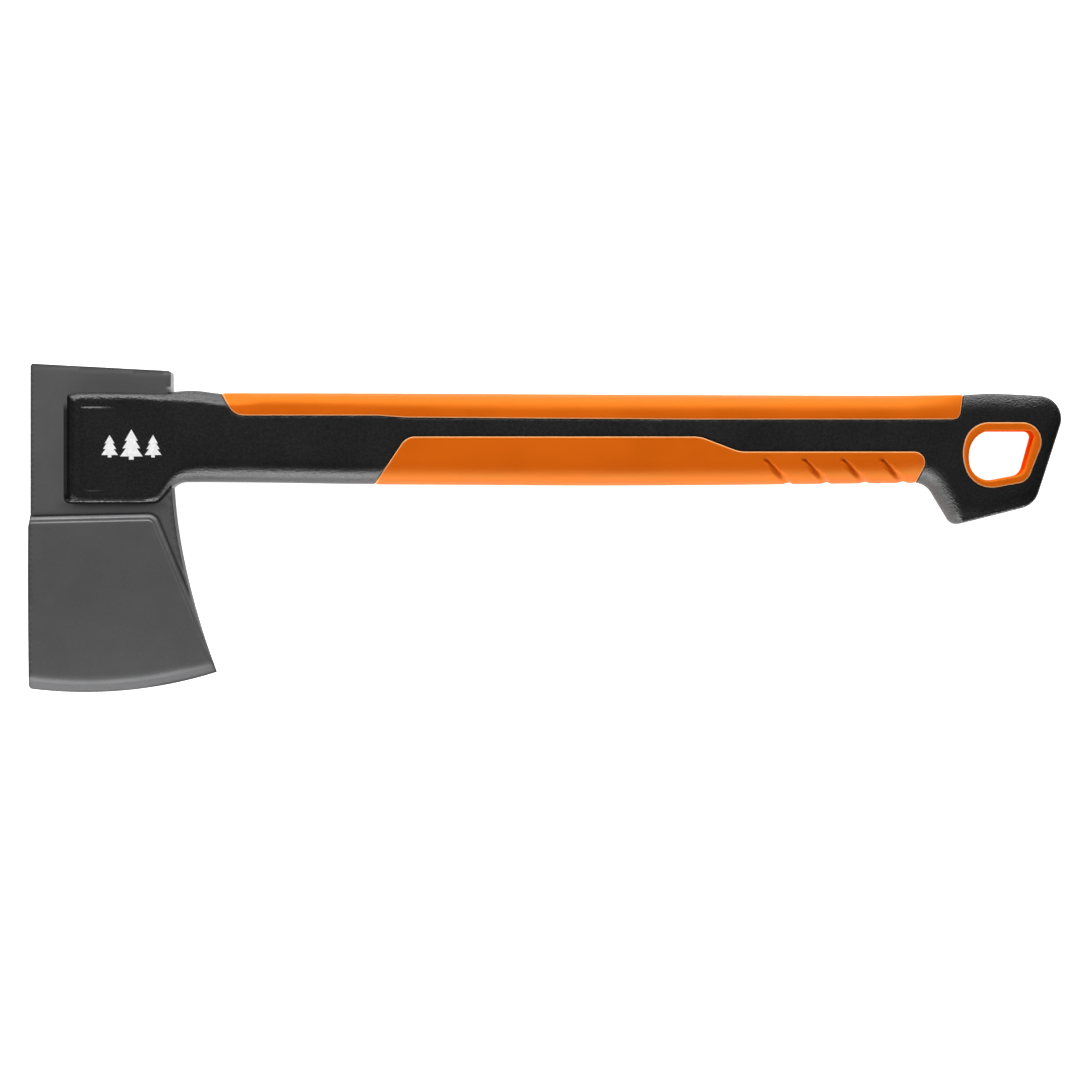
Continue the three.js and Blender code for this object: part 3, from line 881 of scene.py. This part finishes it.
class Finish:
    """A material and the short calls that build its nodes."""

    def __init__(self, name):
        self.material = bpy.data.materials.new(name)
        self.material.use_nodes = True
        self.tree = self.material.node_tree
        self.shader = self.tree.nodes["Principled BSDF"]
        self.place = self.add("ShaderNodeTexCoord").outputs["Object"]

    def add(self, kind, inputs=None, **settings):
        node = self.tree.nodes.new(kind)
        for key, value in settings.items():
            setattr(node, key, value)
        for key, value in (inputs or {}).items():
            self.set(node, key, value)
        return node

    def set(self, node, key, value):
        if isinstance(value, bpy.types.NodeSocket):
            self.tree.links.new(value, node.inputs[key])
        else:
            node.inputs[key].default_value = value

    def principled(self, **inputs):
        for key, value in inputs.items():
            self.set(self.shader, key.replace("_", " "), value)

    def noise(self, size, detail=2.0, roughness=0.5):
        """Noise whose blobs are about size millimetres across."""
        inputs = {"Vector": self.place, "Scale": 1 / (size * MM), "Detail": detail, "Roughness": roughness}
        return self.add("ShaderNodeTexNoise", inputs).outputs["Fac"]

    def cells(self, size):
        inputs = {"Vector": self.place, "Scale": 1 / (size * MM)}
        return self.add("ShaderNodeTexVoronoi", inputs).outputs["Distance"]

    def ramp(self, value, low, high, to_low=0.0, to_high=1.0):
        inputs = {"Value": value, "From Min": low, "From Max": high, "To Min": to_low, "To Max": to_high}
        return self.add("ShaderNodeMapRange", inputs).outputs["Result"]

    def mix(self, share, a, b):
        node = self.add("ShaderNodeMix", data_type="RGBA")
        for key, value in ((0, share), (6, a), (7, b)):
            self.set(node, key, value)
        return node.outputs[2]

    def math(self, operation, a, b):
        node = self.add("ShaderNodeMath", operation=operation)
        self.set(node, 0, a)
        self.set(node, 1, b)
        return node.outputs[0]

    def attribute(self, name):
        return self.add("ShaderNodeAttribute", attribute_name=name).outputs["Fac"]

    def bump(self, height, distance, strength=1.0, under=None):
        """A bump of distance millimetres, on top of another bump where there is one."""
        inputs = {"Height": height, "Distance": distance * MM, "Strength": strength}
        if under:
            inputs["Normal"] = under
        return self.add("ShaderNodeBump", inputs).outputs["Normal"]


def coated_steel():
    """Grey powder-coated forged steel with a ground cutting bevel, painted highlights and painted shade."""
    f = Finish("coated_steel")
    fine, broad = f.noise(0.5, 3), f.noise(16, 3)
    base = f.mix(f.ramp(broad, 0.35, 0.65), linear(94, 94, 95), linear(98, 98, 99))
    specks = f.ramp(f.noise(0.35, 1), 0.66, 0.72)
    base = f.mix(f.math("MULTIPLY", specks, 0.25), base, linear(150, 150, 152))
    # Painted highlight: the panel's edge lines lightened, with a little noise.
    painted_highlight = f.math("MULTIPLY", f.attribute("painted_edge_highlight"), f.ramp(f.noise(3, 4, 0.7), 0.3, 0.6, 0.25, 0.6))
    base = f.mix(painted_highlight, base, linear(136, 136, 138))
    ground = f.attribute("ground")
    scratches = f.ramp(f.noise(0.3, 3), 0.3, 0.7)
    base = f.mix(ground, base, f.mix(scratches, linear(80, 80, 81), linear(92, 92, 93)))
    # Painted shade: beside and under the sleeve, over the panel, and on the walls, darkening the coat.
    shade = f.attribute("shade")
    painted_shade = f.math("MAXIMUM", f.attribute("corner"), f.math("MULTIPLY", shade, 0.6))
    base = f.mix(painted_shade, base, linear(4, 4, 4))
    f.principled(
        Base_Color=base,
        Metallic=f.math("MULTIPLY", f.ramp(ground, 0, 1, 0.55, 0.9), f.ramp(shade, 0, 1, 1, 0.1)),
        Specular_IOR_Level=f.ramp(shade, 0, 1, 0.5, 0.05),
        Roughness=f.ramp(fine, 0.3, 0.7, 0.42, 0.56),
        Normal=f.bump(fine, 0.02, 0.5),
    )
    return f.material


def black_nylon():
    """Black glass-filled nylon from a spark-eroded mould: a fine, sparkling grain."""
    f = Finish("black_nylon")
    grain, broad = f.cells(0.7), f.noise(22, 3)
    base = f.mix(f.ramp(broad, 0.35, 0.65), linear(8, 8, 9), linear(12, 12, 13))
    normal = f.bump(grain, 0.13, 0.9)
    normal = f.bump(f.noise(0.25, 2), 0.03, 0.5, normal)
    sparkle = f.ramp(f.noise(0.9, 2), 0.35, 0.65, 0.82, 1.18)
    gloss = f.ramp(f.attribute("shade"), 0, 1, 0.62, 0.03)
    f.principled(
        Base_Color=base,
        Roughness=f.ramp(broad, 0.3, 0.7, 0.3, 0.36),
        Specular_IOR_Level=f.math("MULTIPLY", sparkle, gloss),
        Normal=normal,
    )
    return f.material


def orange_rubber():
    """Soft-touch orange rubber with a painted pale edge highlight and painted light on its upright walls."""
    f = Finish("orange_rubber")
    broad = f.noise(30, 3)
    base = f.mix(f.ramp(broad, 0.35, 0.65), linear(205, 86, 5), linear(213, 91, 7))
    # Painted highlight: a pale line along the rubber's edge.
    lip = f.ramp(f.attribute("border"), 0.8, 0.45)
    base = f.mix(f.math("MULTIPLY", lip, 0.5), base, linear(255, 214, 160))
    # Painted light: upright walls, such as the hanging hole's bore, a lighter orange.
    shade = f.attribute("shade")
    base = f.mix(f.math("MULTIPLY", shade, 0.8), base, linear(255, 124, 18))
    f.principled(
        Base_Color=base,
        Roughness=f.ramp(broad, 0.3, 0.7, 0.5, 0.58),
        Specular_IOR_Level=f.ramp(shade, 0, 1, 0.45, 0.0),
        Specular_Tint=linear(255, 255, 100),
        Normal=f.bump(f.noise(0.4, 3), 0.025, 0.6),
    )
    return f.material


def white_print():
    """Thick white ink with the mould grain showing through."""
    f = Finish("white_print")
    base = f.mix(f.ramp(f.noise(1.2, 3), 0.3, 0.7), linear(226, 226, 226), linear(246, 246, 246))
    f.principled(Base_Color=base, Roughness=0.5, Normal=f.bump(f.cells(0.55), 0.03, 0.5))
    return f.material


def glass_fibre():
    """Straw-coloured pultruded glass fibre, its strands running along the bar."""
    f = Finish("glass_fibre")
    f.place = f.add("ShaderNodeMapping", {"Vector": f.place, "Scale": (0.03, 1, 1)}).outputs["Vector"]
    strands = f.noise(0.35, 4)
    base = f.mix(f.ramp(strands, 0.3, 0.7), linear(176, 158, 108), linear(222, 210, 170))
    f.principled(Base_Color=base, Roughness=0.45, Normal=f.bump(strands, 0.05, 0.6))
    return f.material


def dowel_steel():
    """Ground steel with fine lines round it."""
    f = Finish("dowel_steel")
    f.place = f.add("ShaderNodeMapping", {"Vector": f.place, "Scale": (0.2, 0.2, 4)}).outputs["Vector"]
    lines = f.noise(0.3, 3)
    f.principled(
        Base_Color=f.mix(lines, linear(150, 152, 156), linear(196, 198, 200)),
        Metallic=1.0,
        Roughness=f.ramp(lines, 0.3, 0.7, 0.22, 0.36),
        Normal=f.bump(lines, 0.01, 0.5),
    )
    return f.material


def paint_node(node, material):
    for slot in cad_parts[node].material_slots:
        slot.material = material


# ---------------------------------------------------------------- room, in metres

FLOOR_HALF = 3.0
FLOOR_GAP = 0.0005  # under the axe, so that their faces don't flicker
BACKDROP_RADIUS = 0.97 * FLOOR_HALF
BACKDROP_HEIGHT = 1.5
BACKDROP_MIDDLE = 0.7
LIGHT_TARGET = (0, 0.03, 0.015)
WORLD_STRENGTH = 0.05
CAMERA_PLACE = (-2.05 * MM, -5.4 * MM)
CAMERA_HEIGHT = 2.5  # over the axe's middle plane
VIEW_WIDTH = 0.4653  # what the camera sees of that plane
SENSOR = 36  # millimetres


def pale():
    """A white that glows, so that it is even from side to side."""
    f = Finish("pale_floor")
    white = (1, 1, 1, 1)
    f.principled(Base_Color=linear(250, 250, 250), Roughness=0.9)
    f.principled(Emission_Color=white, Emission_Strength=1.0)
    return f.material


def floor(material):
    place = (0, 0, cad_box[0][2] - FLOOR_GAP)
    bpy.ops.mesh.primitive_plane_add(size=2 * FLOOR_HALF, location=place)
    made = bpy.context.object
    made.name = "floor"
    made.data.materials.append(material)


def backdrop(material):
    """A wall round the floor, for low views. It is seen, but casts and reflects nothing."""
    bpy.ops.mesh.primitive_cylinder_add(
        radius=BACKDROP_RADIUS,
        depth=BACKDROP_HEIGHT,
        location=(0, 0, BACKDROP_MIDDLE),
        end_fill_type="NOTHING",
        vertices=96,
    )
    made = bpy.context.object
    made.name = "backdrop"
    made.visible_diffuse = made.visible_glossy = made.visible_shadow = False
    made.data.materials.append(material)


def softbox(name, place, size, power):
    """A rectangular light that faces the axe and doesn't show."""
    data = bpy.data.lights.new(name, "AREA")
    data.shape = "RECTANGLE"
    data.size, data.size_y = size
    data.energy = power
    made = bpy.data.objects.new(name, data)
    made.location = place
    made.rotation_euler = (Vector(LIGHT_TARGET) - Vector(place)).to_track_quat("-Z", "Y").to_euler()
    made.visible_camera = False
    bpy.context.scene.collection.objects.link(made)


def room():
    scene = bpy.context.scene
    world = bpy.data.worlds.new("studio")
    world.use_nodes = True
    sky = world.node_tree.nodes["Background"]
    sky.inputs["Color"].default_value = (1, 1, 1, 1)
    sky.inputs["Strength"].default_value = WORLD_STRENGTH
    scene.world = world
    scene.view_settings.view_transform = "Standard"
    white = pale()
    floor(white)
    backdrop(white)
    softbox("poll_side", (-0.05, 0.75, 0.42), (1.6, 0.62), 17)
    softbox("belly_side", (-0.1, -0.75, 0.15), (1.7, 0.28), 12.8)
    softbox("overhead", (0, 0, 2.2), (1.6, 1.6), 1.5)


def camera():
    """A long lens, straight above the axe."""
    data = bpy.data.cameras.new("camera")
    data.sensor_width = SENSOR
    data.lens = SENSOR * CAMERA_HEIGHT / VIEW_WIDTH
    data.clip_end = 50
    made = bpy.data.objects.new("camera", data)
    made.location = (*CAMERA_PLACE, MIDDLE * MM + CAMERA_HEIGHT)
    bpy.context.scene.collection.objects.link(made)
    bpy.context.scene.camera = made


steel, black, orange = coated_steel(), black_nylon(), orange_rubber()
head_piece(steel)
handle_pieces(black, orange)
liner_piece(orange)
emblems(white_print())
paint_node("handle_core", glass_fibre())
for pin in PINS:
    paint_node(pin, dowel_steel())
room()
camera()
